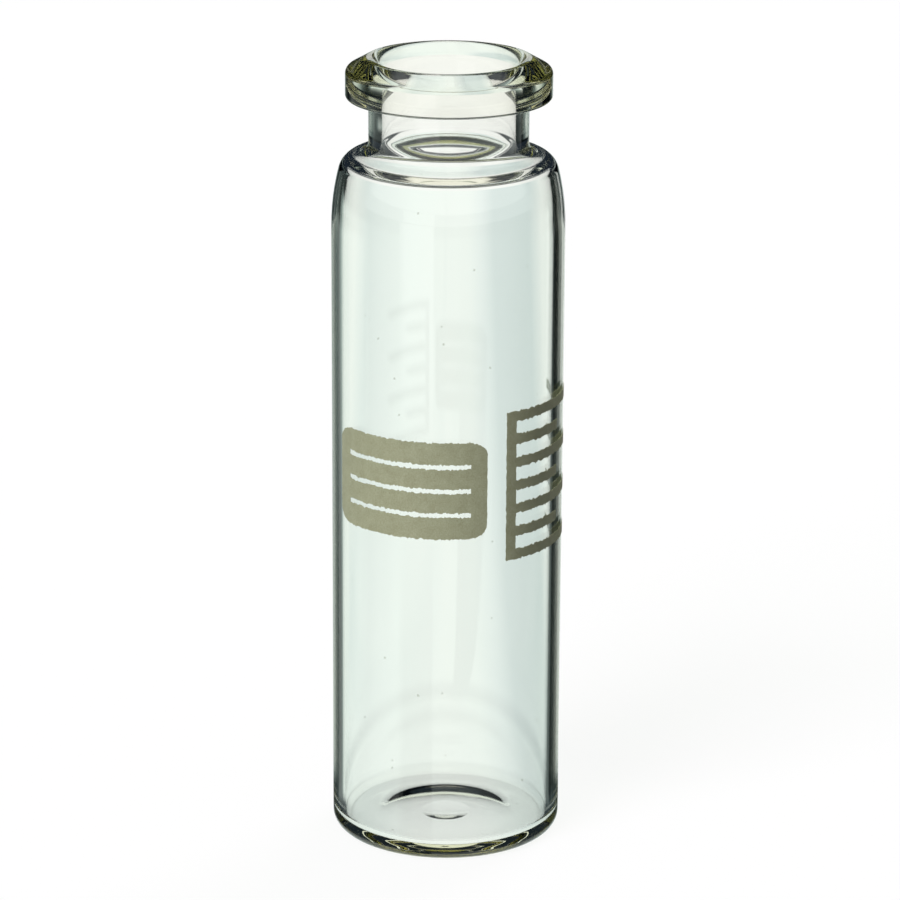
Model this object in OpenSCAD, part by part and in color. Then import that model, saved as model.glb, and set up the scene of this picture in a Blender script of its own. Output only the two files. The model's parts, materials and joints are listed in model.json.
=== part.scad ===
// Glass sample vial: a drawn glass tube with a closed, pushed-up bottom and a
// narrow neck that ends in a bevelled crimp flange. The vial is one piece of
// glass. A write-on patch and a fill scale of fired ceramic ink sit on the tube.
//
// The origin is the centre of the bottom, on the surface that the vial stands
// on. +Z is up, and -Y is the side that carries the print.

/* [Tube] */
// Height from the surface it stands on to the crest of the lip
total_h = 77.5; // [62:0.5:90]
// Outer diameter of the tube
body_d = 22.4; // [21.8:0.1:26]
// Thickness of the tube's wall
wall = 1.15; // [0.8:0.05:1.5]

/* [Bottom] */
// Outer radius of the bend between the tube and the bottom
heel_r = 1.3; // [0.8:0.1:2]
// Inner radius of the corner between the wall and the floor
floor_corner_r = 1; // [0.5:0.1:1.8]
// Height of the flat inner floor
floor_h = 1.3; // [1.2:0.05:2]
// Height of the raised dome in the middle of the underside
push_up_h = 0.43; // [0.3:0.01:0.6]
// Radius where the dome is steepest
push_up_r = 6.3; // [5.6:0.1:7]
// Inner radius of the flat ring that the vial stands on
standing_r = 8.6; // [8:0.1:9]
// Depth of the small drop of glass at the centre of the underside
nub_h = 0.17; // [0.08:0.01:0.24]
// Radius of that drop
nub_r = 2.45; // [1.8:0.05:2.8]

/* [Shoulder] */
// Radius of the slow inward sweep at the top of the tube
sweep_r = 22; // [16:0.5:28]
// Angle through which the tube sweeps inward
sweep_turn = 14.5; // [10:0.5:17]
// Outer radius of the tight bend at the top of the shoulder
shoulder_corner_r = 2; // [1.7:0.05:2.4]
// Slope of the shoulder's top, up towards the neck
shoulder_slope = 13; // [9:1:24]
// Outer radius of the hollow where the shoulder meets the neck
neck_root_r = 1; // [0.6:0.1:1.4]
// Angle through which the inner skin sweeps inward
inner_sweep_turn = 13; // [10:0.5:15]
// Inner radius of the tight bend at the top of the shoulder
inner_corner_r = 0.6; // [0.4:0.05:0.9]
// Slope of the inner skin under the shoulder's top
inner_slope = 14; // [10:1:18]
// Radius of the round that leads the inner skin up into the bore
bore_root_r = 3; // [2.6:0.1:3.4]
// Height from the foot of the straight neck up to the foot of the straight bore
bore_lift = 0.8; // [0.5:0.05:0.9]

/* [Neck] */
// Outer diameter of the neck
neck_d = 15.3; // [14.6:0.1:15.9]
// Diameter of the bore through the neck
bore_d = 12.7; // [11.6:0.1:13.2]
// Height of the straight neck under the flange, down to the shoulder's hollow
neck_h = 4.3; // [3:0.1:6]

/* [Flange] */
// Outer diameter of the crimp flange
flange_d = 19.7; // [18.6:0.1:20.4]
// Height from the underside of the flange to the crest of the lip
flange_h = 3.85; // [3.2:0.05:5]
// Slope of the bevel between the crest and the rim
bevel_slope = 29; // [20:1:36]
// Diameter of the crest, where the bevel starts
crest_d = 15.7; // [15:0.1:16.4]
// Width of the flat ring on the crest, inside the bevel
crest_land = 0.25; // [0.2:0.05:0.5]
// Radius of the edge between the crest and the bevel
crest_edge_r = 0.4; // [0.1:0.05:0.5]
// Radius of the edge between the bevel and the rim
rim_edge_r = 0.7; // [0.2:0.05:1]
// Radius of the rim's lower edge
flange_foot_r = 0.35; // [0.15:0.05:0.5]
// Radius of the hollow between the neck and the flange's underside
flange_root_r = 0.4; // [0.15:0.05:0.6]

/* [Print] */
// Thickness of the fired ink
ink_t = 0.04; // [0.03:0.01:0.08]
// Height of the middle of the print above the bottom
print_mid_h = 38; // [26:0.5:46]
// Height of the write-on patch
patch_h = 9.6; // [6:0.2:16]
// Length of the write-on patch around the tube
patch_w = 16.4; // [10:0.2:24]
// Angle from the front of the tube to the middle of the patch
patch_turn = -22; // [-40:1:-10]
// Corner radius of the patch
patch_corner_r = 1.4; // [0.4:0.1:2.4]
// Number of clear ruled lines across the patch
patch_lines = 3; // [1:1:4]
// Width of a ruled line
line_w = 0.45; // [0.3:0.05:0.8]
// Clear edge between the end of a ruled line and the end of the patch
line_margin = 1.6; // [0.8:0.1:3]
// Gap between the patch and the spine of the fill scale
scale_gap = 2; // [1:0.1:3]
// Width of the fill scale's spine
spine_w = 1.1; // [0.6:0.1:2]
// Number of bars on the fill scale
scale_bars = 7; // [3:1:9]
// Spacing of the bars
bar_pitch = 2.3; // [1.8:0.1:3]
// Thickness of a bar
bar_w = 1; // [0.5:0.1:1.4]
// Length of the long bars, which alternate with the short ones
long_bar = 13; // [8:0.5:16]
// Length of the short bars
short_bar = 6.5; // [3:0.5:8]

/* [Hidden] */
$fn = 128;

clear_glass = [0.78, 0.88, 0.85, 0.45];
ink_grey = [0.55, 0.54, 0.46];
ARC_STEPS = 10;       // straight steps in each rounded stretch of the outline
SWELL_STEPS = 8;      // steps in each smooth stretch of the underside
DOME_POWER = 2.7;     // how late the dome steepens on the way out from the axis
FOOT_POWER = 3;       // how soon it runs out towards the standing ring
RING_MARGIN = 1;      // spare height of the ring that a patch is cut from

body_r = body_d / 2;
neck_r = neck_d / 2;
bore_r = bore_d / 2;
flange_r = flange_d / 2;
crest_r = crest_d / 2;
lip_r = crest_r - crest_land - bore_r;       // round inner edge of the mouth
flange_z = total_h - flange_h;
neck_foot_z = flange_z - neck_h;
floor_r = body_r - wall - floor_corner_r;    // radius of the flat floor
bevel_h = (flange_r - crest_r) * tan(bevel_slope);
foot_w = standing_r - push_up_r;
push_up_slope = push_up_h / (push_up_r / DOME_POWER + foot_w / FOOT_POWER);

// Points along an arc around [cx, cz], from angle a0 to angle a1.
function arc(cx, cz, r, a0, a1, steps = ARC_STEPS) =
    [for (i = [0:steps]) let (a = a0 + (a1 - a0) * i / steps)
        [cx + r * cos(a), cz + r * sin(a)]];

// The same points from last to first.
function reversed(points) = [for (i = [len(points) - 1:-1:0]) points[i]];

// Height of the dome at radius r. It steepens out to push_up_r, and beyond that
// it runs out towards the standing ring.
function dome(r) =
    r < push_up_r
        ? push_up_h - push_up_slope * push_up_r / DOME_POWER * pow(r / push_up_r, DOME_POWER)
        : push_up_slope * foot_w / FOOT_POWER * pow((standing_r - r) / foot_w, FOOT_POWER);

// Depth of the centre drop at radius r.
function drop(r) = nub_h * max(0, 1 - pow(r / nub_r, 2));

// Evenly spaced values from a up to b, without a itself.
function steps_to(a, b) = [for (i = [1:SWELL_STEPS]) a + (b - a) * i / SWELL_STEPS];

// The underside's points, from the axis out to the standing ring.
function underside_points() =
    [for (r = concat([0], steps_to(0, nub_r), steps_to(nub_r, push_up_r),
                     steps_to(push_up_r, standing_r)))
        [r, dome(r) - drop(r)]];

// One skin of the shoulder, from the tube at radius r_tube up to the neck at
// radius r_neck, which starts at height foot_z. The tube sweeps in with radius
// `sweep` through angle `into`, bends with radius `corner` and slopes up into a
// round of radius root_r.
function shoulder_points(r_tube, r_neck, foot_z, sweep, into, corner, slope, root_r) =
    let (corner_r = r_tube - sweep + (sweep - corner) * cos(into),
         corner_end_r = corner_r + corner * sin(slope),
         root_start_r = r_neck + root_r * (1 - sin(slope)),
         corner_z = foot_z - root_r * cos(slope) - corner * cos(slope)
             - (corner_end_r - root_start_r) * tan(slope))
    concat(arc(r_tube - sweep, corner_z - (sweep - corner) * sin(into), sweep, 0, into),
           arc(corner_r, corner_z, corner, into, 90 - slope),
           reversed(arc(r_neck + root_r, foot_z, root_r, 180, 270 - slope)));

// The flange's outer edge, from the neck out, up the rim and in over the bevel.
function flange_points() =
    let (rim_top_z = total_h - bevel_h,
         rim_half = tan((90 - bevel_slope) / 2) * rim_edge_r,
         crest_half = tan(bevel_slope / 2) * crest_edge_r)
    concat(arc(neck_r + flange_root_r, flange_z - flange_root_r, flange_root_r, 180, 90),
           arc(flange_r - flange_foot_r, flange_z + flange_foot_r, flange_foot_r, 270, 360),
           arc(flange_r - rim_edge_r, rim_top_z - rim_half, rim_edge_r, 0, 90 - bevel_slope),
           arc(crest_r - crest_half, total_h - crest_edge_r, crest_edge_r, 90 - bevel_slope, 90));

// Half of the vial's section: out along the underside, up the outside to the
// mouth, and back down the inside to the middle of the floor.
function vial_outline() =
    concat(underside_points(),
           arc(body_r - heel_r, heel_r, heel_r, 270, 360),
           shoulder_points(body_r, neck_r, neck_foot_z, sweep_r, sweep_turn,
                           shoulder_corner_r, shoulder_slope, neck_root_r),
           flange_points(),
           arc(bore_r + lip_r, total_h - lip_r, lip_r, 90, 180),
           reversed(shoulder_points(body_r - wall, bore_r, neck_foot_z + bore_lift,
                                    sweep_r - wall, inner_sweep_turn, inner_corner_r,
                                    inner_slope, bore_root_r)),
           arc(floor_r, floor_h + floor_corner_r, floor_corner_r, 360, 270),
           [[0, floor_h]]);

module vial() {
    color(clear_glass)
        rotate_extrude()
            polygon(vial_outline());
}

// Angle around the tube that a length of arc on its surface takes.
function turn(length) = length / body_r * 180 / PI;

// A ring of ink all the way round the tube, `h` high from height z.
module ink_ring(z, h) {
    rotate_extrude()
        translate([body_r, z])
            square([ink_t, h]);
}

// A bar of ink on the tube, `w` long around it and `h` high. It starts at the
// angle `from` from the front and at height z.
module ink_bar(from, w, z, h) {
    rotate([0, 0, from - 90])
        rotate_extrude(angle = turn(w))
            translate([body_r, z])
                square([ink_t, h]);
}

// Distance from the middle of a field, `w` long around the tube, to its end, as
// seen from straight in front of that field.
function half_chord(w) = body_r * sin(turn(w) / 2);

// A rectangle centred on the origin, with round corners.
module round_rectangle(w, h, r) {
    square([w - 2 * r, h], center = true);
    square([w, h - 2 * r], center = true);
    for (x = [-1, 1], y = [-1, 1])
        translate([x * (w / 2 - r), y * (h / 2 - r)])
            circle(r = r);
}

module write_on_patch() {
    line_half = half_chord(patch_w - 2 * line_margin);
    pitch = patch_h / (patch_lines + 1);
    color(ink_grey)
        rotate([0, 0, patch_turn])
            intersection() {
                translate([0, 0, print_mid_h])
                    rotate([90, 0, 0])
                        linear_extrude(body_d)
                            difference() {
                                round_rectangle(2 * half_chord(patch_w), patch_h, patch_corner_r);
                                for (i = [1:patch_lines])
                                    translate([-line_half, i * pitch - (patch_h + line_w) / 2])
                                        square([2 * line_half, line_w]);
                            }
                ink_ring(print_mid_h - patch_h / 2 - RING_MARGIN, patch_h + 2 * RING_MARGIN);
            }
}

module fill_scale() {
    from = patch_turn + turn(patch_w / 2 + scale_gap);
    span = (scale_bars - 1) * bar_pitch + bar_w;
    foot = print_mid_h - span / 2;
    color(ink_grey) {
        ink_bar(from, spine_w, foot, span);
        for (i = [0:scale_bars - 1])
            ink_bar(from, spine_w + (i % 2 == 0 ? long_bar : short_bar),
                      foot + i * bar_pitch, bar_w);
    }
}

vial();
write_on_patch();
fill_scale();
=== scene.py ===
"""A clear glass sample vial with a crimp flange and a plain print, in a bright studio.

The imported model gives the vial's height and the radii of its tube, rim and mouth. The glass is
lathed again here along the same outline, finely enough for clean refraction, and the print is laid
on it as thin shells of fired ink whose edges are slightly ragged. Lengths are in millimetres until
a mesh is made, and in metres after that. Angles are in degrees.
"""

import json
import math

import bpy
from mathutils import Matrix, Vector, geometry, noise


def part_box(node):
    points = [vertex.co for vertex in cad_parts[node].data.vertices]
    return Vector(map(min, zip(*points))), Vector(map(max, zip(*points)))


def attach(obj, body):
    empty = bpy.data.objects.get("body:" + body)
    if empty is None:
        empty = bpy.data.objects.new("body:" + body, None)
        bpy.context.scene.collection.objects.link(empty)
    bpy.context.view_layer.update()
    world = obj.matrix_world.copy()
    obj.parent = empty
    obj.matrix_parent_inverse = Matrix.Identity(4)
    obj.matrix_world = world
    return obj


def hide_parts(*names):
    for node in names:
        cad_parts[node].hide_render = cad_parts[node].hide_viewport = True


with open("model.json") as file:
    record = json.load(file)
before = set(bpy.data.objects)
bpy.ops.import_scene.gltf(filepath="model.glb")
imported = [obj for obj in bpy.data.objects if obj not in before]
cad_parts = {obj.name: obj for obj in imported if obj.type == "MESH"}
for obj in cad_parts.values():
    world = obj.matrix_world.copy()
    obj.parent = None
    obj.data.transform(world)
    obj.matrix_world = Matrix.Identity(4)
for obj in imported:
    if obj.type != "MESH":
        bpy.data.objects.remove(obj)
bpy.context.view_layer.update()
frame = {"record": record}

MM = 0.001
NO_LENGTH = 1e-6  # in mm: a shorter stretch of an outline is left out

# ---------------------------------------------------------------- sizes from the frame, in mm

mounts = {m["name"]: m["dims"] for m in frame["record"]["mounts"]}
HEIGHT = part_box("vial")[1][2] / MM
TUBE_R = mounts["rack_fit"]["r_mm"]
RIM_R = mounts["crimp_rim"]["r_mm"]
BORE_R = mounts["mouth"]["r_mm"]

# ---------------------------------------------------------------- sizes of the glass, in mm

WALL = 1.15
HEEL_R = 1.3
FLOOR_CORNER_R = 1.0
FLOOR_H = 1.3
PUSH_UP_H, PUSH_UP_R, STANDING_R = 0.43, 6.3, 8.6
DOME_POWER, FOOT_POWER = 2.7, 3.0
NUB_H, NUB_R = 0.17, 2.45
SWEEP_R, SWEEP_TURN = 22.0, 14.5
SHOULDER_CORNER_R, SHOULDER_SLOPE = 2.0, 13.0
NECK_ROOT_R, NECK_R, NECK_H = 1.0, 7.65, 4.3
INNER_SWEEP_TURN, INNER_CORNER_R, INNER_SLOPE = 13.0, 0.6, 14.0
BORE_ROOT_R, BORE_LIFT = 3.0, 0.8
FLANGE_H, BEVEL_SLOPE = 3.85, 29.0
CREST_R, CREST_LAND = 7.85, 0.25
CREST_EDGE_R, RIM_EDGE_R = 0.4, 0.7
FLANGE_FOOT_R, FLANGE_ROOT_R = 0.35, 0.4

# ---------------------------------------------------------------- sizes of the print, in mm

PRINT_MID_H = 38.0
PATCH_W, PATCH_H, PATCH_CORNER_R = 16.4, 9.6, 1.4
PATCH_TURN = -22.0
PATCH_LINES, LINE_W, LINE_MARGIN = 3, 0.45, 1.6
SCALE_GAP, SPINE_W = 2.0, 1.1
SCALE_BARS, BAR_PITCH, BAR_W = 7, 2.3, 1.0
LONG_BAR, SHORT_BAR = 13.0, 6.5
INK_OUT, INK_IN = 0.04, 0.012  # how far the ink stands out of the tube and lies in it
INK_GRID = 0.4
EDGE_STEP = 0.11
EDGE_WAVER, EDGE_BITE = 0.04, 0.12  # how ragged its upright edges are, and the level ones on top
WAVES, BITES = 2.1, 6.5  # long and short waves of the edges, a mm
BITES_APART = 7.5  # sets the short waves apart from the long ones
PATCH_SEED, SCALE_SEED = 3.0, 11.0

# ---------------------------------------------------------------- fineness

AROUND = 216  # segments around the vial
ARC_STEP = 4.0  # degrees between points of a rounded stretch
ARC_STEPS = 6  # the fewest steps of a rounded stretch
LINE_STEP = 1.5  # mm between points of a straight stretch
UNDERSIDE_STEPS = 120
SHARP = 30.0  # degrees between faces, past which the ink's edge stays sharp
WELD = 1e-5  # mm between points of the print that are taken as one


def add_object(name, data):
    made = bpy.data.objects.new(name, data)
    bpy.context.scene.collection.objects.link(made)
    return made


def mesh_object(name, verts, faces):
    mesh = bpy.data.meshes.new(name)
    mesh.from_pydata(verts, [], faces)
    mesh.validate()
    return add_object(name, mesh)


# ---------------------------------------------------------------- the glass


def cos(a):
    return math.cos(math.radians(a))


def sin(a):
    return math.sin(math.radians(a))


def tan(a):
    return math.tan(math.radians(a))


def arc(cr, cz, r, a0, a1):
    """Points along an arc around (cr, cz) from angle a0 to angle a1."""
    steps = max(ARC_STEPS, math.ceil(abs(a1 - a0) / ARC_STEP))
    angles = [a0 + (a1 - a0) * i / steps for i in range(steps + 1)]
    return [(cr + r * cos(a), cz + r * sin(a)) for a in angles]


def underside():
    """The pushed-up bottom with its small centre drop, from the axis out to the standing ring.

    The dome steepens out to PUSH_UP_R, and beyond that it runs out towards the ring."""
    foot_w = STANDING_R - PUSH_UP_R
    slope = PUSH_UP_H / (PUSH_UP_R / DOME_POWER + foot_w / FOOT_POWER)
    points = []
    for r in [STANDING_R * i / UNDERSIDE_STEPS for i in range(UNDERSIDE_STEPS + 1)]:
        dome = PUSH_UP_H - slope * PUSH_UP_R / DOME_POWER * (r / PUSH_UP_R) ** DOME_POWER
        foot = slope * foot_w / FOOT_POWER * (max(0.0, STANDING_R - r) / foot_w) ** FOOT_POWER
        drop = NUB_H * max(0.0, 1 - (r / NUB_R) ** 2)
        points.append((r, (dome if r < PUSH_UP_R else foot) - drop))
    return points


def shoulder(r_tube, r_neck, foot_z, sweep, into, corner, slope, root_r):
    """One skin of the shoulder, from the tube up to the neck, whose straight part starts at foot_z.

    The tube sweeps in with radius `sweep` through the angle `into`, bends with radius `corner` and
    slopes up into a round of radius root_r."""
    corner_r = r_tube - sweep + (sweep - corner) * cos(into)
    corner_end_r = corner_r + corner * sin(slope)
    root_start_r = r_neck + root_r * (1 - sin(slope))
    rise = (root_r + corner) * cos(slope) + (corner_end_r - root_start_r) * tan(slope)
    corner_z = foot_z - rise
    root = arc(r_neck + root_r, foot_z, root_r, 180, 270 - slope)
    return (
        arc(r_tube - sweep, corner_z - (sweep - corner) * sin(into), sweep, 0, into)
        + arc(corner_r, corner_z, corner, into, 90 - slope)
        + root[::-1]
    )


def flange():
    """The flange's edge, from the neck out, up the rim and in over the bevel to the crest."""
    foot_z = HEIGHT - FLANGE_H
    rim_top_z = HEIGHT - (RIM_R - CREST_R) * tan(BEVEL_SLOPE)
    rim_half = tan((90 - BEVEL_SLOPE) / 2) * RIM_EDGE_R
    crest_half = tan(BEVEL_SLOPE / 2) * CREST_EDGE_R
    return (
        arc(NECK_R + FLANGE_ROOT_R, foot_z - FLANGE_ROOT_R, FLANGE_ROOT_R, 180, 90)
        + arc(RIM_R - FLANGE_FOOT_R, foot_z + FLANGE_FOOT_R, FLANGE_FOOT_R, 270, 360)
        + arc(RIM_R - RIM_EDGE_R, rim_top_z - rim_half, RIM_EDGE_R, 0, 90 - BEVEL_SLOPE)
        + arc(CREST_R - crest_half, HEIGHT - CREST_EDGE_R, CREST_EDGE_R, 90 - BEVEL_SLOPE, 90)
    )


def glass_outline():
    """Half of the vial's section, from the axis underneath to the axis on the inner floor."""
    neck_foot_z = HEIGHT - FLANGE_H - NECK_H
    lip_r = CREST_R - CREST_LAND - BORE_R
    floor_r = TUBE_R - WALL - FLOOR_CORNER_R
    outer_bends = (SWEEP_R, SWEEP_TURN, SHOULDER_CORNER_R, SHOULDER_SLOPE, NECK_ROOT_R)
    inner_bends = (SWEEP_R - WALL, INNER_SWEEP_TURN, INNER_CORNER_R, INNER_SLOPE, BORE_ROOT_R)
    inner_shoulder = shoulder(TUBE_R - WALL, BORE_R, neck_foot_z + BORE_LIFT, *inner_bends)
    return (
        underside()
        + arc(TUBE_R - HEEL_R, HEEL_R, HEEL_R, 270, 360)
        + shoulder(TUBE_R, NECK_R, neck_foot_z, *outer_bends)
        + flange()
        + arc(BORE_R + lip_r, HEIGHT - lip_r, lip_r, 90, 180)
        + inner_shoulder[::-1]
        + arc(floor_r, FLOOR_H + FLOOR_CORNER_R, FLOOR_CORNER_R, 360, 270)
        + [(0.0, FLOOR_H)]
    )


def with_steps(outline):
    """The outline with extra points along its straight stretches and no point twice."""
    out = [outline[0]]
    for r, z in outline[1:]:
        r0, z0 = out[-1]
        length = math.hypot(r - r0, z - z0)
        if length < NO_LENGTH:
            continue
        steps = max(1, math.ceil(length / LINE_STEP))
        out += [(r0 + (r - r0) * i / steps, z0 + (z - z0) * i / steps) for i in range(1, steps + 1)]
    return out


def outline_normals(points):
    """The outward normal (r, z) at each point: the mean of its two stretches' normals, each
    weighted by the other's length, which is exact where an arc meets a straight line. Both ends
    are on the axis, where the normal points straight down or up."""
    normals = [Vector((0.0, -1.0))]
    for before, here, after in zip(points, points[1:], points[2:]):
        steps = [(q[0] - p[0], q[1] - p[1]) for p, q in ((before, here), (here, after))]
        total = Vector((0.0, 0.0))
        for (r, z), other in (steps, steps[::-1]):
            total += Vector((z, -r)).normalized() * math.hypot(*other)
        normals.append(total.normalized())
    return normals + [Vector((0.0, 1.0))]


def lathe(name, points):
    """Turns an outline that starts and ends on the axis into a closed mesh with true normals."""
    ring = [(cos(360 * k / AROUND), sin(360 * k / AROUND)) for k in range(AROUND)]
    verts = [(0.0, 0.0, points[0][1] * MM)]
    normals = [(0.0, 0.0, -1.0)]
    for (r, z), n in list(zip(points, outline_normals(points)))[1:-1]:
        verts += [(r * c * MM, r * s * MM, z * MM) for c, s in ring]
        normals += [(n.x * c, n.x * s, n.y) for c, s in ring]
    verts.append((0.0, 0.0, points[-1][1] * MM))
    normals.append((0.0, 0.0, 1.0))

    faces = []
    rings = len(points) - 2
    top = 1 + (rings - 1) * AROUND
    for k in range(AROUND):
        j = (k + 1) % AROUND
        faces.append((0, 1 + j, 1 + k))
        for i in range(rings - 1):
            a, b = 1 + i * AROUND, 1 + (i + 1) * AROUND
            faces.append((a + k, a + j, b + j, b + k))
        faces.append((top + k, top + j, len(verts) - 1))
    turned = mesh_object(name, verts, faces)
    turned.data.shade_smooth()
    turned.data.normals_split_custom_set_from_vertices(normals)
    return turned


# ---------------------------------------------------------------- the print


def half_chord(width):
    """Half of a width along the tube, as seen from straight in front of its middle."""
    return TUBE_R * math.sin(width / 2 / TUBE_R)


def unrolled(chord):
    """The way around the tube to a place that is seen this far from the middle."""
    return TUBE_R * math.asin(chord / TUBE_R)


def patch_loops():
    """The write-on patch's edge and its ruled lines, unrolled: (mm around from the front, mm up)."""
    half_w, half_h, r = half_chord(PATCH_W), PATCH_H / 2, PATCH_CORNER_R
    corners = [(1, 1, 0), (-1, 1, 90), (-1, -1, 180), (1, -1, 270)]
    edge = [p for i, j, a in corners for p in arc(i * (half_w - r), j * (half_h - r), r, a, a + 90)]
    loops = [[(unrolled(x), z) for x, z in edge]]
    end = PATCH_W / 2 - LINE_MARGIN
    for i in range(1, PATCH_LINES + 1):
        mid = i * PATCH_H / (PATCH_LINES + 1) - half_h
        low, high = mid - LINE_W / 2, mid + LINE_W / 2
        loops.append([(-end, low), (end, low), (end, high), (-end, high)])
    middle = math.radians(PATCH_TURN) * TUBE_R
    return [[(s + middle, z + PRINT_MID_H) for s, z in loop] for loop in loops]


def scale_loops():
    """The fill scale's edge, unrolled: a spine with long and short bars to its right."""
    start = math.radians(PATCH_TURN) * TUBE_R + PATCH_W / 2 + SCALE_GAP
    span = (SCALE_BARS - 1) * BAR_PITCH + BAR_W
    foot = PRINT_MID_H - span / 2
    edge = [(start, foot + span), (start, foot)]
    for i in range(SCALE_BARS):
        end = start + SPINE_W + (SHORT_BAR if i % 2 else LONG_BAR)
        low = foot + i * BAR_PITCH
        edge += [(start + SPINE_W, low)] if i else []
        edge += [(end, low), (end, low + BAR_W)]
        edge += [(start + SPINE_W, low + BAR_W)] if i < SCALE_BARS - 1 else []
    return [edge]


def ragged(loop, seed):
    """The loop in short steps, each set off its line a little, as a coarse screen prints it."""
    out = []
    for (s0, z0), (s1, z1) in zip(loop, loop[1:] + loop[:1]):
        length = math.hypot(s1 - s0, z1 - z0)
        if length < NO_LENGTH:
            continue
        across = ((z1 - z0) / length, (s0 - s1) / length)
        steps = max(1, round(length / EDGE_STEP))
        for i in range(steps):
            s, z = s0 + (s1 - s0) * i / steps, z0 + (z1 - z0) * i / steps
            wave = noise.noise(Vector((WAVES * s, WAVES * z, seed)))
            bite = noise.noise(Vector((BITES * s, BITES * z, seed + BITES_APART)))
            off = EDGE_WAVER * wave + (EDGE_WAVER + EDGE_BITE * abs(across[1])) * bite
            out.append((s + off * across[0], z + off * across[1]))
    return out


def inside(s, z, loops):
    """Whether a place is in the ink: within the print's edge and not in one of its holes."""
    crossings = 0
    for loop in loops:
        for (s0, z0), (s1, z1) in zip(loop, loop[1:] + loop[:1]):
            if (z0 > z) != (z1 > z) and s < s0 + (s1 - s0) * (z - z0) / (z1 - z0):
                crossings += 1
    return crossings % 2 == 1


def grid_points(loops):
    """An even grid of places in the ink, clear of its edges."""
    rim = [p for loop in loops for p in loop]
    low_s, high_s = min(p[0] for p in rim), max(p[0] for p in rim)
    low_z, high_z = min(p[1] for p in rim), max(p[1] for p in rim)
    points = []
    for i in range(1, int((high_s - low_s) / INK_GRID)):
        for j in range(1, int((high_z - low_z) / INK_GRID)):
            s, z = low_s + i * INK_GRID, low_z + j * INK_GRID
            clear = all(math.hypot(s - a, z - b) > INK_GRID / 2 for a, b in rim)
            if clear and inside(s, z, loops):
                points.append((s, z))
    return points


def flat_ink(loops):
    """The print unrolled: its points, and the triangles between them that are in the ink."""
    rim, edges = [], []
    for loop in loops:
        first, count = len(rim), len(loop)
        edges += [(first + i, first + (i + 1) % count) for i in range(count)]
        rim += loop
    points = [Vector(p) for p in rim + grid_points(loops)]
    points, _, cells = geometry.delaunay_2d_cdt(points, edges, [], 1, WELD)[:3]

    def in_ink(cell):
        middle = sum((points[v] for v in cell), Vector((0.0, 0.0))) / 3
        return max(cell) >= len(rim) or inside(middle.x, middle.y, loops)

    return points, [cell for cell in cells if in_ink(cell)]


def ink_shell(name, loops, seed):
    """A thin shell of ink on the tube, cut along the loops: its edge first, then its holes."""
    points, cells = flat_ink([ragged(loop, seed + i) for i, loop in enumerate(loops)])
    verts = []
    for r in (TUBE_R + INK_OUT, TUBE_R - INK_IN):
        for p in points:
            a = p.x / TUBE_R
            verts.append((r * math.sin(a) * MM, -r * math.cos(a) * MM, p.y * MM))
    count = len(points)
    sides = {(a, b) for cell in cells for a, b in zip(cell, cell[1:] + cell[:1])}
    faces = [tuple(cell) for cell in cells]
    faces += [tuple(v + count for v in reversed(cell)) for cell in cells]
    faces += [(b, a, a + count, b + count) for a, b in sorted(sides) if (b, a) not in sides]
    shell = mesh_object(name, verts, faces)
    shell.data.shade_smooth()
    shell.data.set_sharp_from_angle(angle=math.radians(SHARP))
    return shell


# ---------------------------------------------------------------- materials

WHITE, BLACK = (1.0, 1.0, 1.0, 1.0), (0.0, 0.0, 0.0, 1.0)

GLASS_IOR = 1.49
GLASS_TINT, GLASS_DENSITY = (0.83, 0.82, 0.58, 1.0), 60.0  # absorption colour, and density a metre
GLASS_SHADOW = (0.90, 0.93, 0.91, 1.0)  # what the glass lets through to its own shadow
STREAKS = (900.0, 900.0, 22.0)  # cells a metre across, across and along the tube
STREAK_BUMP, STREAK_DEPTH = 0.02, 0.00002  # strength, and depth in metres
SPECK_CELLS, SPECK_R = 400.0, 0.07  # cells a metre, and a speck's radius in cells
CELLS_BARE = 0.72  # the share of cells without a speck
SPECK_TONE = (0.55, 0.55, 0.5, 1.0)

INK_STOPS = [(0.30, (0.275, 0.275, 0.168)), (0.68, (0.415, 0.43, 0.29))]  # noise and its colour
INK_FINE, INK_BROAD = (9000.0, 2.0, 0.6), (1100.0, 2.0, 0.5)  # cells a metre, octaves, roughness
FINE_SHARE, BROAD_SHARE = 0.7, 0.3
INK_BUMP, INK_DEPTH = 0.25, 0.00001  # strength, and depth in metres
INK_ROUGHNESS = 0.5


def new_material(name):
    mat = bpy.data.materials.new(name)
    mat.use_nodes = True
    mat.node_tree.nodes.clear()
    return mat, mat.node_tree


def wire(tree, kind, *values, out=0, **settings):
    """Adds a node and gives one of its outputs. Each value is a number or colour, or an output
    that is linked to that input, or None for an input that stays as it is."""
    made = tree.nodes.new(kind)
    for key, value in settings.items():
        setattr(made, key, value)
    for socket, value in zip(made.inputs, values):
        if isinstance(value, bpy.types.NodeSocket):
            tree.links.new(value, socket)
        elif value is not None:
            socket.default_value = value
    return made.outputs[out]


def wire_output(tree, surface, volume=None, kind="ShaderNodeOutputMaterial"):
    out = tree.nodes.new(kind)
    tree.links.new(surface, out.inputs["Surface"])
    if volume:
        tree.links.new(volume, out.inputs["Volume"])


def maths(tree, operation, *values):
    return wire(tree, "ShaderNodeMath", *values, operation=operation)


def mix(tree, factor, a, b):
    """Shader a where the factor is 0 and shader b where it is 1."""
    return wire(tree, "ShaderNodeMixShader", factor, a, b)


def blend(tree, factor, a, b):
    """Colour a where the factor is 0 and colour b where it is 1."""
    return wire(tree, "ShaderNodeMix", factor, *[None] * 5, a, b, data_type="RGBA", out=2)


def fade(tree, value, start, end):
    """0 where the value is at start, 1 where it is at end, and a smooth change between them."""
    return wire(
        tree, "ShaderNodeMapRange", value, start, end, 0.0, 1.0, interpolation_type="SMOOTHSTEP"
    )


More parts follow.
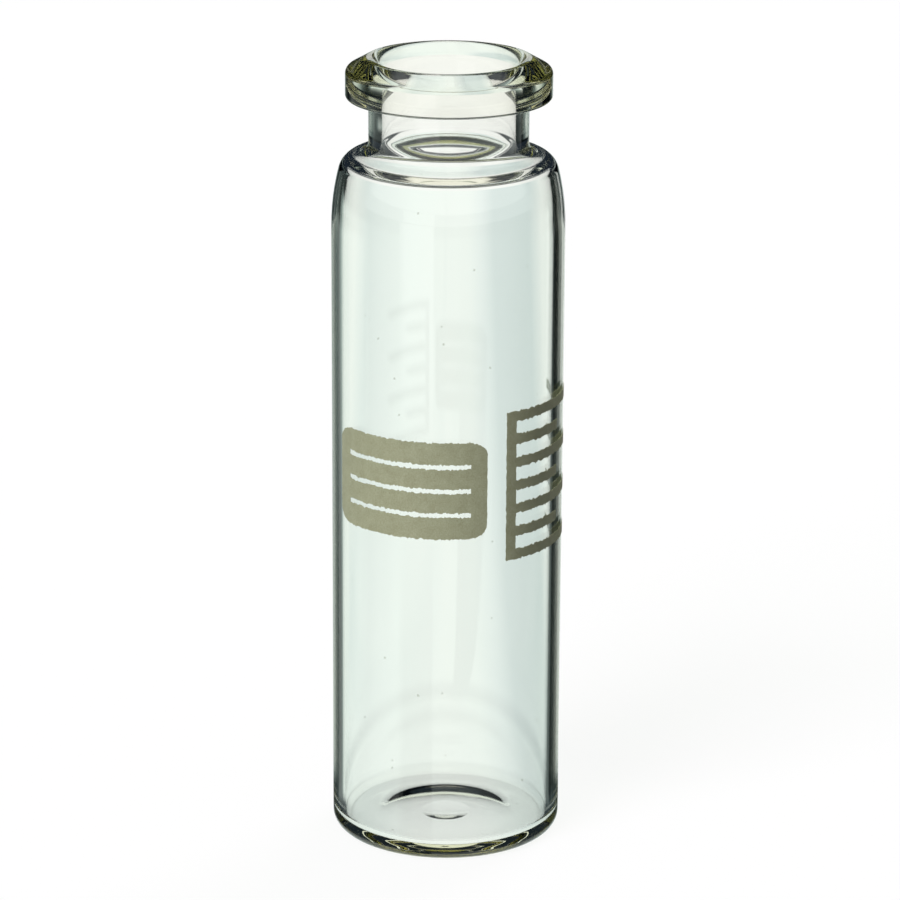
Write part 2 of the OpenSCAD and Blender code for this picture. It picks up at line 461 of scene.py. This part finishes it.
def ramp(tree, factor, stops):
    """A colour ramp with stops of (position, colour)."""
    colours = wire(tree, "ShaderNodeValToRGB", factor)
    elements = colours.node.color_ramp.elements
    while len(elements) < len(stops):
        elements.new(0.5)
    for element, (position, colour) in zip(elements, sorted(stops)):
        element.position = position
        element.color = (*colour, 1.0)
    return colours


def principled(tree, colour, height, strength, depth, **numbers):
    """The main shader, with a relief from the height and with its other inputs set by name."""
    relief = wire(tree, "ShaderNodeBump", strength, depth)
    tree.links.new(height, relief.node.inputs["Height"])
    shader = wire(tree, "ShaderNodeBsdfPrincipled", colour)
    tree.links.new(relief, shader.node.inputs["Normal"])
    for name, number in numbers.items():
        shader.node.inputs[name].default_value = number
    return shader


def glass_material():
    """Clear glass that takes up a little light with depth, faintly drawn along the tube, with a
    few specks of dust."""
    mat, tree = new_material("clear_glass")
    where = wire(tree, "ShaderNodeTexCoord", out=3)
    stretched = wire(tree, "ShaderNodeMapping", where, None, None, STREAKS)
    streaks = wire(tree, "ShaderNodeTexNoise", stretched, None, 1.0)

    cells = wire(tree, "ShaderNodeTexVoronoi", where, None, SPECK_CELLS).node.outputs
    kept = wire(tree, "ShaderNodeSeparateColor", cells["Color"])
    kept = maths(tree, "GREATER_THAN", kept, CELLS_BARE)
    speck = maths(tree, "MULTIPLY", fade(tree, cells["Distance"], SPECK_R, SPECK_R / 2), kept)
    colour = blend(tree, speck, WHITE, SPECK_TONE)

    clear = {"IOR": GLASS_IOR, "Roughness": 0.0, "Transmission Weight": 1.0}
    glass = principled(tree, colour, streaks, STREAK_BUMP, STREAK_DEPTH, **clear)
    shadow = wire(tree, "ShaderNodeBsdfTransparent", GLASS_SHADOW)
    path = wire(tree, "ShaderNodeLightPath").node.outputs
    depth = wire(tree, "ShaderNodeVolumeAbsorption", GLASS_TINT, GLASS_DENSITY)
    wire_output(tree, mix(tree, path["Is Shadow Ray"], glass, shadow), depth)
    return mat


def ink_material():
    """Semi-matte fired ink with a fine speckle and a grainy skin."""
    mat, tree = new_material("fired_ink")
    where = wire(tree, "ShaderNodeTexCoord", out=3)
    fine = wire(tree, "ShaderNodeTexNoise", where, None, *INK_FINE)
    broad = wire(tree, "ShaderNodeTexNoise", where, None, *INK_BROAD)
    broad = maths(tree, "MULTIPLY", broad, BROAD_SHARE)
    speckle = maths(tree, "MULTIPLY_ADD", fine, FINE_SHARE, broad)
    colour = ramp(tree, speckle, INK_STOPS)
    wire_output(tree, principled(tree, colour, fine, INK_BUMP, INK_DEPTH, Roughness=INK_ROUGHNESS))
    return mat


# ---------------------------------------------------------------- build

vial = lathe("vial_glass", with_steps(glass_outline()))
vial.data.materials.append(glass_material())
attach(vial, "root")
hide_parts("vial")

ink = ink_material()
prints = {
    "write_on_patch": (patch_loops(), PATCH_SEED),
    "fill_scale": (scale_loops(), SCALE_SEED),
}
for name, (loops, seed) in prints.items():
    shell = ink_shell(name + "_ink", loops, seed)
    shell.data.materials.append(ink)
    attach(shell, "root")
    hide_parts(name)


# ---------------------------------------------------------------- studio

# Plain light falls on the floor and the print. The camera sees the floor white, but glass rays
# find painted tones on it and in the room, none lighter than white: straight through the glass a
# pale floor with painted shade across the tube, and in its edges, by total reflection, a floor
# painted white right behind the vial and dark to both sides, under a painted dark back wall and a
# bright front. These are painted reflections and painted shade that only the glass shows. Places
# on the floor are in metres.

FLOOR_HALF, FLOOR_GAP = 3.0, 0.00002
FLOOR_GREY, FLOOR_WHITE = 0.2, 1.004  # its own grey, and the tone that the camera sees
PLAIN_LIGHT = 0.15

# Each lamp: strength, tilt from overhead, and turn from the front towards +X
KEY, KEY_TILT, KEY_TURN = 3.2, 50.0, -38.0
FILL, FILL_TILT, FILL_TURN = 1.5, 58.0, 148.0
LAMP_SPREAD = 30.0

FEW_SURFACES = 2  # a ray that has passed through more than this has run long in the glass

# Painted tones that glass edges find on the floor and the camera never sees: the heading they
# look in, from the front towards +X in degrees, and how light it is painted there. Near the vial,
# far from it, and beyond that, where it darkens to both sides. They make the dark and pale bands
# in the glass's edges, which are painted reflections.
PAINTED_EDGES_NEAR = [
    (-180, 1.0), (-168, 0.4), (-161, 0.13), (-155, 0.06), (-151, 0.0), (-145, 0.0),
    (-143, 0.09), (-140.5, 0.26), (-137.8, 0.85), (-128, 0.75), (-105, 0.85), (-60, 1.0),
    (0, 0.95), (35, 0.7), (75, 0.1), (112, 0.25), (126, 0.62), (130, 0.45), (132, 0.0),
    (134.5, 0.02), (137.5, 0.08), (140.5, 0.02), (161, 0.02), (163.5, 0.5), (167, 0.6), (170, 1.0),
    (180, 1.0),
]
PAINTED_EDGES_FAR = [
    (-180, 1.0), (-172, 0.35), (-165, 0.15), (-157, 0.1), (-152, 0.05), (-149.5, 0.0),
    (-147, 0.03), (-145, 0.24), (-142.5, 0.27), (-140.5, 0.5), (-137.5, 0.82), (-127, 0.68),
    (-105, 0.8), (-60, 1.0), (0, 0.95), (35, 0.7), (75, 0.1), (112, 0.25), (122, 0.62),
    (126, 1.0), (128, 0.05), (135, 0.0), (138, 0.04), (141, 0.0), (149, 0.0), (153, 0.04),
    (161, 0.1), (164, 1.0), (168, 1.0), (180, 0.8),
]
PAINTED_EDGES_BEYOND = [
    (-180, 0.5), (-170, 0.33), (-162, 0.1), (-152, 0.03), (-95, 0.01), (-60, 0.8), (0, 0.95),
    (35, 0.6), (75, 0.01), (150, 0.02), (160, 0.2), (170, 0.8), (180, 0.65),
]
# tints of those painted edge tones, at their dark end and at their light end
DARK_TINT, LIGHT_TINT = (0.76, 1.05, 1.0), (0.95, 1.03, 0.97)
NEAR_TO_FAR, FAR_TO_BEYOND, BEYOND_TO_BLACK = (0.055, 0.23), (0.26, 0.36), (0.42, 0.62)
EDGE_OFFSET = 0.010  # edges look past the vial's axis at this distance
BEHIND = (60.0, 100.0)  # degrees from the front, over which that begins to count

# How far across a place on the floor is, over its distance from FAN_Y in front, and the painted
# tone that shows there straight through glass: painted shade across the tube's body
PAINTED_THROUGH_TONES = [
    (-0.095, (0.93, 1.0, 0.96)),
    (-0.060, (0.76, 0.86, 0.84)),
    (-0.032, (0.85, 0.94, 0.91)),
    (-0.018, (0.91, 1.0, 0.96)),
    (0.000, (0.93, 1.0, 0.96)),
    (0.010, (0.92, 1.0, 0.96)),
    (0.017, (0.84, 0.93, 0.91)),
    (0.024, (0.71, 0.81, 0.80)),
    (0.060, (0.66, 0.77, 0.76)),
    (0.095, (0.93, 1.0, 0.96)),
]
SPREAD = 0.20  # the width that the ramp of these tones covers
# the fan spreads from about where the camera stands, so this painted shade is laid out for that view
FAN_Y, FAN_LEAST = 0.4, 0.1  # how far in front they spread from, and the least distance
# Painted tones straight through glass further off, fading to navy far away, and under the vial, pale
# in its middle with painted shade to its sides
THROUGH_FAR = (0.98, 1.0, 0.98, 1.0)
THROUGH_TO_FAR, FAR_TO_NAVY = (0.24, 0.29), (0.65, 1.0)
UNDERNEATH, UNDER_SIDES = (0.94, 1.0, 0.97, 1.0), (0.85, 0.95, 0.92, 1.0)
UNDER_ACROSS = (0.002, 0.0085)  # from the middle of the floor under the vial to its sides
UNDER_R = (0.0095, 0.0115)  # from the floor under the vial to the floor round it

# Painted dark that glass rays find in place of shade: navy far off, round the foot and in front, and
# FOOT_SHADE, a painted shade ring round the vial's foot
NAVY = (0.012, 0.018, 0.027, 1.0)
FOOT_SHADE = (0.035, 0.05, 0.055, 1.0)
FOOT_RING = (0.0185, 0.0145)  # into the shade round the vial's foot
FRONT, FRONT_SHADE = (0.002, -0.006), 0.45  # where y turns to the front, and its share of navy
EDGES_R = (0.0113, 0.0125)  # the edges' own tones begin here
DEEP_R = (0.016, 0.02)  # inside this, what runs long in the glass finds navy


def ray_kinds(tree):
    """1 for a ray from the camera, for one from glass, for one that a surface has mirrored, and
    for one that has passed through few surfaces."""
    path = wire(tree, "ShaderNodeLightPath").node.outputs
    glass = maths(tree, "MAXIMUM", path["Is Glossy Ray"], path["Is Transmission Ray"])
    mirrored = maths(tree, "GREATER_THAN", path["Glossy Depth"], 0.5)
    few = maths(tree, "LESS_THAN", path["Transmission Depth"], FEW_SURFACES + 0.5)
    return path["Is Camera Ray"], glass, mirrored, few


def bare_floor(tree, camera):
    """Grey that takes the vial's shadow, and for the camera as much glow as makes it white."""
    lit = wire(tree, "ShaderNodeBsdfDiffuse", (FLOOR_GREY, FLOOR_GREY, FLOOR_GREY, 1.0))
    lamps = KEY * cos(KEY_TILT) + FILL * cos(FILL_TILT)
    unshaded = FLOOR_GREY * (PLAIN_LIGHT + lamps / math.pi)
    glow = wire(tree, "ShaderNodeEmission", WHITE, FLOOR_WHITE - unshaded)
    return mix(tree, camera, lit, wire(tree, "ShaderNodeAddShader", lit, glow))


def painted_through_tone(tree, x, y, distance):
    """Painted tones that show straight through glass, with painted shade across the tube."""
    ahead = maths(tree, "MAXIMUM", maths(tree, "ADD", y, FAN_Y), FAN_LEAST)
    across = maths(tree, "DIVIDE", x, ahead)
    across = maths(tree, "MULTIPLY_ADD", across, 1 / SPREAD, 0.5)
    tone = ramp(tree, across, [(a / SPREAD + 0.5, tone) for a, tone in PAINTED_THROUGH_TONES])
    tone = blend(tree, fade(tree, distance, *THROUGH_TO_FAR), tone, THROUGH_FAR)
    tone = blend(tree, fade(tree, distance, *FAR_TO_NAVY), tone, NAVY)
    aside = fade(tree, maths(tree, "ABSOLUTE", x), *UNDER_ACROSS)
    under = blend(tree, aside, UNDERNEATH, UNDER_SIDES)
    return blend(tree, fade(tree, distance, *UNDER_R[::-1]), tone, under)


def edge_heading(tree, x, y, distance):
    """The heading in which an edge finds a place, as a fraction: 0 and 1 behind, 0.25 on the left
    and 0.5 in front. It is further round to the back than the place, because an edge looks past
    the vial's axis."""
    turned = maths(tree, "ARCTAN2", x, maths(tree, "MULTIPLY", y, -1.0))
    turned = maths(tree, "MULTIPLY_ADD", turned, 0.5 / math.pi, 0.5)
    aside = maths(tree, "SUBTRACT", turned, 0.5)
    behind = fade(tree, maths(tree, "ABSOLUTE", aside), *[a / 360 for a in BEHIND])
    behind = maths(tree, "MULTIPLY", behind, maths(tree, "SIGN", aside))
    offset = maths(tree, "MINIMUM", maths(tree, "DIVIDE", EDGE_OFFSET, distance), 1.0)
    offset = maths(tree, "MULTIPLY", maths(tree, "ARCSINE", offset), 0.5 / math.pi)
    return maths(tree, "ADD", turned, maths(tree, "MULTIPLY", offset, behind))


def tones_by_heading(tree, heading, tones):
    stops = []
    for angle, tone in tones:
        tint = [d + (t - d) * tone for d, t in zip(DARK_TINT, LIGHT_TINT)]
        stops.append(((angle + 180) / 360, [min(1.0, tone * t) for t in tint]))
    return ramp(tree, heading, stops)


def painted_edge_tone(tree, x, y, distance):
    """Painted reflections that glass edges find, with painted shade round the foot."""
    heading = edge_heading(tree, x, y, distance)
    near, far, beyond = (
        tones_by_heading(tree, heading, tones) for tones in (PAINTED_EDGES_NEAR, PAINTED_EDGES_FAR, PAINTED_EDGES_BEYOND)
    )
    tone = blend(tree, fade(tree, distance, *NEAR_TO_FAR), near, far)
    tone = blend(tree, fade(tree, distance, *FAR_TO_BEYOND), tone, beyond)
    tone = blend(tree, fade(tree, distance, *BEYOND_TO_BLACK), tone, BLACK)
    return blend(tree, fade(tree, distance, *FOOT_RING), tone, FOOT_SHADE)


def floor_material():
    """White to the camera, and for glass painted reflections and painted shade, for straight
    and for mirrored rays. What is mirrored and then runs long in the glass finds painted navy
    shade round the vial's foot."""
    mat, tree = new_material("floor")
    place = wire(tree, "ShaderNodeSeparateXYZ", wire(tree, "ShaderNodeNewGeometry"))
    x, y = place.node.outputs[:2]
    square = maths(tree, "MULTIPLY_ADD", x, x, maths(tree, "MULTIPLY", y, y))
    distance = maths(tree, "SQRT", square)
    camera, glass, mirrored, few = ray_kinds(tree)

    straight = wire(tree, "ShaderNodeEmission", painted_through_tone(tree, x, y, distance), 1.0)
    edges = wire(tree, "ShaderNodeEmission", painted_edge_tone(tree, x, y, distance), 1.0)
    navy = wire(tree, "ShaderNodeEmission", NAVY, 1.0)
    # painted shade: mirrored tones in front of the vial take a share of navy
    front = maths(tree, "MULTIPLY", fade(tree, y, *FRONT), FRONT_SHADE)
    edges = mix(tree, front, edges, navy)
    beside = maths(tree, "MULTIPLY", few, fade(tree, distance, *EDGES_R))
    seen = mix(tree, maths(tree, "MULTIPLY", beside, mirrored), straight, edges)
    # painted shade: what is mirrored and runs long in the glass near the foot finds navy
    pale = maths(tree, "MAXIMUM", few, fade(tree, distance, *DEEP_R))
    pale = maths(tree, "MAXIMUM", pale, fade(tree, distance, *EDGES_R[::-1]))
    seen = mix(tree, maths(tree, "SUBTRACT", mirrored, pale), seen, navy)
    wire_output(tree, mix(tree, glass, bare_floor(tree, camera), seen))
    return mat


def stage_mesh(name, points, material):
    shape = mesh_object(name, points, [tuple(range(len(points)))])
    shape.data.materials.append(material)
    return shape


corners = ((-1, -1), (1, -1), (1, 1), (-1, 1))
floor_points = [(FLOOR_HALF * i, FLOOR_HALF * j, -FLOOR_GAP) for i, j in corners]
stage_mesh("floor", floor_points, floor_material())

# A glowing card lies on the floor in front, to the left, unseen by the camera and lighting
# nothing, so that only glass shows it. The tube's front mirrors it as a faint column of painted
# light, a painted reflection. Each of its long edges starts at the tube's foot, so many degrees
# from the front, and runs off in a heading of its own.
CARD_EDGES = ((-24.1, -48.3), (-7.2, -14.4))
CARD_REACH = 2600.0  # in mm
# the card darkens near the vial, so the painted reflection fades towards the tube's foot
CARD_START = (0.02, 0.24)  # it turns from black to white between these distances


def card_material():
    mat, tree = new_material("card")
    place = wire(tree, "ShaderNodeNewGeometry")
    distance = wire(tree, "ShaderNodeVectorMath", place, operation="LENGTH", out=1)
    wire_output(tree, wire(tree, "ShaderNodeEmission", WHITE, fade(tree, distance, *CARD_START)))
    return mat


def card_points():
    points = []
    for reach, edges in ((0.0, CARD_EDGES), (CARD_REACH, CARD_EDGES[::-1])):
        for foot, heading in edges:
            x = TUBE_R * sin(foot) + reach * sin(heading)
            y = -TUBE_R * cos(foot) - reach * cos(heading)
            points.append((x * MM, y * MM, FLOOR_GAP))
    return points


card = stage_mesh("card", card_points(), card_material())
card.visible_camera = False
card.visible_diffuse = False
card.visible_shadow = False

# The painted room that only glass shows: where its front begins, in y of a direction, and where
# its high part, its top and its ground begin, in degrees over the horizon
ROOM_FRONT = (0.12, -0.12)
ROOM_HIGH, ROOM_TOP = (43.0, 56.0), (79.0, 82.0)
HORIZON = (-0.5, 0.5)


def studio_world():
    """Plain light on what is matt, and white to the camera. Glass shows a painted navy room, whose
    front and ceiling are painted white in its edges, and whose ground is white straight through it:
    painted reflections that nothing else sees."""
    world = bpy.data.worlds.new("studio")
    world.use_nodes = True
    tree = world.node_tree
    tree.nodes.clear()
    towards = wire(tree, "ShaderNodeSeparateXYZ", wire(tree, "ShaderNodeTexCoord"))
    y, z = towards.node.outputs[1:]
    camera, glass, mirrored, few = ray_kinds(tree)
    plain = wire(tree, "ShaderNodeBackground", WHITE, PLAIN_LIGHT)
    white = wire(tree, "ShaderNodeBackground", WHITE, 1.0)

    high, top, ground = (
        fade(tree, z, sin(low), sin(up)) for low, up in (ROOM_HIGH, ROOM_TOP, HORIZON)
    )
    high = maths(tree, "MAXIMUM", maths(tree, "MULTIPLY", high, few), top)
    front = maths(tree, "MULTIPLY", fade(tree, y, *ROOM_FRONT), few)
    bright = maths(tree, "MULTIPLY", maths(tree, "MAXIMUM", front, high), mirrored)
    ground = maths(tree, "SUBTRACT", 1.0, ground)
    ground = maths(tree, "MULTIPLY", ground, maths(tree, "SUBTRACT", 1.0, mirrored))
    colour = blend(tree, maths(tree, "MAXIMUM", bright, ground), NAVY, WHITE)
    room = wire(tree, "ShaderNodeBackground", colour, 1.0)
    surface = mix(tree, glass, mix(tree, camera, plain, white), room)
    wire_output(tree, surface, kind="ShaderNodeOutputWorld")
    return world


def lamp(name, strength, tilt, turn):
    """A wide sun that glass doesn't show."""
    data = bpy.data.lights.new(name, "SUN")
    data.energy = strength
    data.angle = math.radians(LAMP_SPREAD)
    sun = add_object(name, data)
    sun.rotation_euler = (math.radians(tilt), 0, math.radians(turn))
    sun.visible_glossy = False
    sun.visible_transmission = False


scene = bpy.context.scene
scene.world = studio_world()
lamp("key", KEY, KEY_TILT, KEY_TURN)
lamp("fill", FILL, FILL_TILT, FILL_TURN)

# ---------------------------------------------------------------- camera

CAMERA_DISTANCE = 399.0
CAMERA_ELEVATION = 17.56
CAMERA_ROLL = 0.29
CAMERA_AIM = Vector((0.26, 0.0, 38.61))
SENSOR_MM, LENS_MM = 36.0, 164.08

camera = add_object("camera", bpy.data.cameras.new("camera"))
camera.data.sensor_width = SENSOR_MM
camera.data.lens = LENS_MM
back = Vector((0.0, -cos(CAMERA_ELEVATION), sin(CAMERA_ELEVATION)))
camera.location = (CAMERA_AIM + back * CAMERA_DISTANCE) * MM
turn = back.to_track_quat("Z", "Y").to_matrix()
camera.rotation_euler = (turn @ Matrix.Rotation(math.radians(CAMERA_ROLL), 3, "Z")).to_euler()
bpy.context.scene.camera = camera

scene.view_settings.view_transform = "Standard"
scene.cycles.max_bounces = 32
scene.cycles.glossy_bounces = 24
scene.cycles.transmission_bounces = 32
scene.cycles.caustics_refractive = False
scene.cycles.caustics_reflective = False
